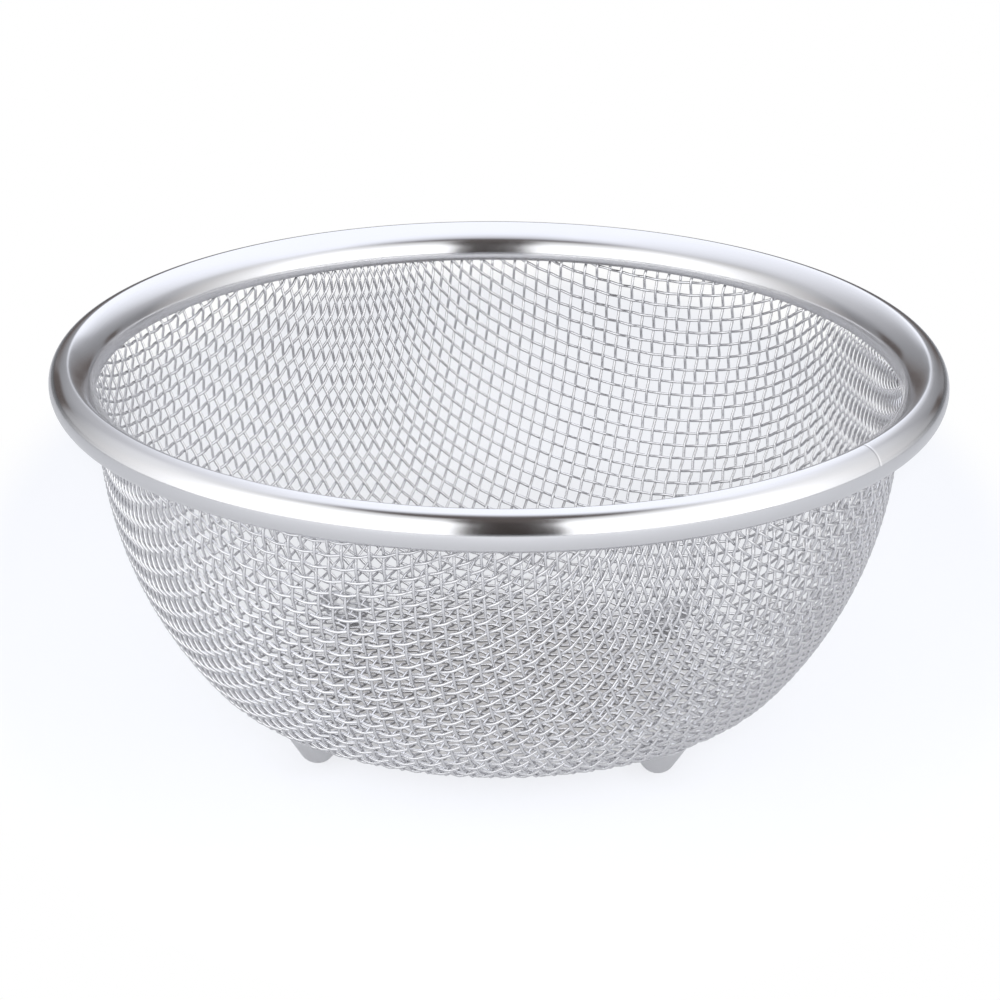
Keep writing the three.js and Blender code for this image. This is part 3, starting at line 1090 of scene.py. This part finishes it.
def hang_screens():
    """The curved front screen with a slit for the camera, and the long screen overhead."""
    turns = np.radians(np.linspace(-FRONT_TURN, FRONT_TURN, FRONT_STEPS + 1))
    points = [(FRONT_RADIUS * math.sin(turn), -FRONT_RADIUS * math.cos(turn), z)
              for z in (0.0, FRONT_HEIGHT) for turn in turns]
    above = FRONT_STEPS + 1
    faces = [(k, k + 1, k + 1 + above, k + above) for k in range(FRONT_STEPS)]
    cloth = screen_material("Front screen", FRONT_STRENGTH, FRONT_COLOUR, front_mask)
    hang_screen("front_screen", points, faces, cloth)
    x, z = OVERHEAD_HALF_WIDTH, OVERHEAD_HEIGHT
    corners = [(-x, OVERHEAD_FRONT, z), (x, OVERHEAD_FRONT, z),
               (x, OVERHEAD_BACK, z), (-x, OVERHEAD_BACK, z)]
    cloth = screen_material("Overhead screen", OVERHEAD_STRENGTH, OVERHEAD_COLOUR, overhead_mask)
    hang_screen("overhead_screen", corners, [(0, 1, 2, 3)], cloth)


LAMP_WIDTH = 0.1
SENSOR_WIDTH = 36.0
NEAREST_SEEN, FARTHEST_SEEN = 0.01, 100.0


def lay_floor(reach):
    """The floor, as far as reach to each side."""
    mesh = bpy.data.meshes.new("floor")
    mesh.from_pydata(
        [(-reach, -reach, 0), (reach, -reach, 0), (reach, reach, 0), (-reach, reach, 0)],
        [], [(0, 1, 2, 3)])
    floor = bpy.data.objects.new("floor", mesh)
    bpy.context.scene.collection.objects.link(floor)
    mesh.materials.append(floor_material())


def frontal_lamp(sizes, middle, back):
    """A soft lamp in line with the camera, so that the shadow falls behind the object."""
    data = bpy.data.lights.new("frontal_lamp", "AREA")
    data.shape, data.size, data.energy = "DISK", LAMP_WIDTH, sizes.lamp_power
    lamp = bpy.data.objects.new("frontal_lamp", data)
    bpy.context.scene.collection.objects.link(lamp)
    lamp.location = middle + back * sizes.lamp_distance
    lamp.rotation_euler = back.to_track_quat("Z", "Y").to_euler()
    lamp.visible_glossy = False


def place_camera(sizes, middle, back):
    """The camera, which looks at a point a little below the middle of the hoop."""
    data = bpy.data.cameras.new("camera")
    data.lens, data.sensor_width = sizes.lens, SENSOR_WIDTH
    data.clip_start, data.clip_end = NEAREST_SEEN, FARTHEST_SEEN
    camera = bpy.data.objects.new("camera", data)
    bpy.context.scene.collection.objects.link(camera)
    turn = (Matrix.Rotation(-sizes.aim_aside, 4, "Z")
            @ Matrix.Rotation(math.pi / 2 - sizes.camera_elevation - sizes.aim_below, 4, "X")
            @ Matrix.Rotation(sizes.camera_roll, 4, "Z"))
    camera.matrix_world = Matrix.Translation(middle + back * sizes.camera_distance) @ turn
    bpy.context.scene.camera = camera


class SetStage(bpy.types.Operator):
    """Lays the floor and sets the light and the camera."""

    bl_idname = "colander.set_stage"
    bl_label = "Set the stage"

    def execute(self, context):
        sizes = context.scene.colander_stage
        middle = Vector((0, 0, (RIM_LOW.z + RIM_HIGH.z) / 2))
        back = Vector((0, -math.cos(sizes.camera_elevation), math.sin(sizes.camera_elevation)))
        lay_floor(sizes.floor_reach)
        studio_world()
        hang_screens()
        frontal_lamp(sizes, middle, back)
        place_camera(sizes, middle, back)
        context.scene.view_settings.view_transform = "Standard"
        return {"FINISHED"}


class ColanderPanel(bpy.types.Panel):
    """Sizes, finishes and steps of the colander in the sidebar."""

    bl_idname = "VIEW3D_PT_colander"
    bl_label = "Colander"
    bl_space_type = "VIEW_3D"
    bl_region_type = "UI"
    bl_category = "Colander"

    def draw(self, context):
        for title, owner in SETTINGS:
            box = self.layout.box()
            box.label(text=title)
            group = getattr(context.scene, owner)
            for key in group.__annotations__:
                box.prop(group, key)
        for maker in OPERATORS:
            self.layout.operator(maker.bl_idname)


SETTINGS = (
    ("Cloth", "colander_cloth"), ("Rim", "colander_rim"), ("Feet", "colander_foot"),
    ("Finish", "colander_finish"), ("Stage", "colander_stage"),
)
GROUPS = {
    "colander_cloth": ClothSizes, "colander_rim": RimSizes, "colander_foot": FootSizes,
    "colander_finish": Finish, "colander_stage": StageSizes,
}
OPERATORS = (WeaveCloth, RollRim, PressFeet, SetStage)


def register():
    """Registers the sizes, the steps and the panel."""
    for owner, group in GROUPS.items():
        bpy.utils.register_class(group)
        setattr(bpy.types.Scene, owner, bpy.props.PointerProperty(type=group))
    for item in (*OPERATORS, ColanderPanel):
        bpy.utils.register_class(item)


def unregister():
    """Takes back what register set up."""
    for item in reversed((*OPERATORS, ColanderPanel)):
        bpy.utils.unregister_class(item)
    for owner, group in GROUPS.items():
        delattr(bpy.types.Scene, owner)
        bpy.utils.unregister_class(group)


def main():
    """Builds the colander and its stage."""
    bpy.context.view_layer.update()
    register()
    bpy.ops.colander.weave_cloth()
    bpy.ops.colander.roll_rim()
    bpy.ops.colander.press_feet()
    bpy.ops.colander.set_stage()


if __name__ == "__main__":
    main()
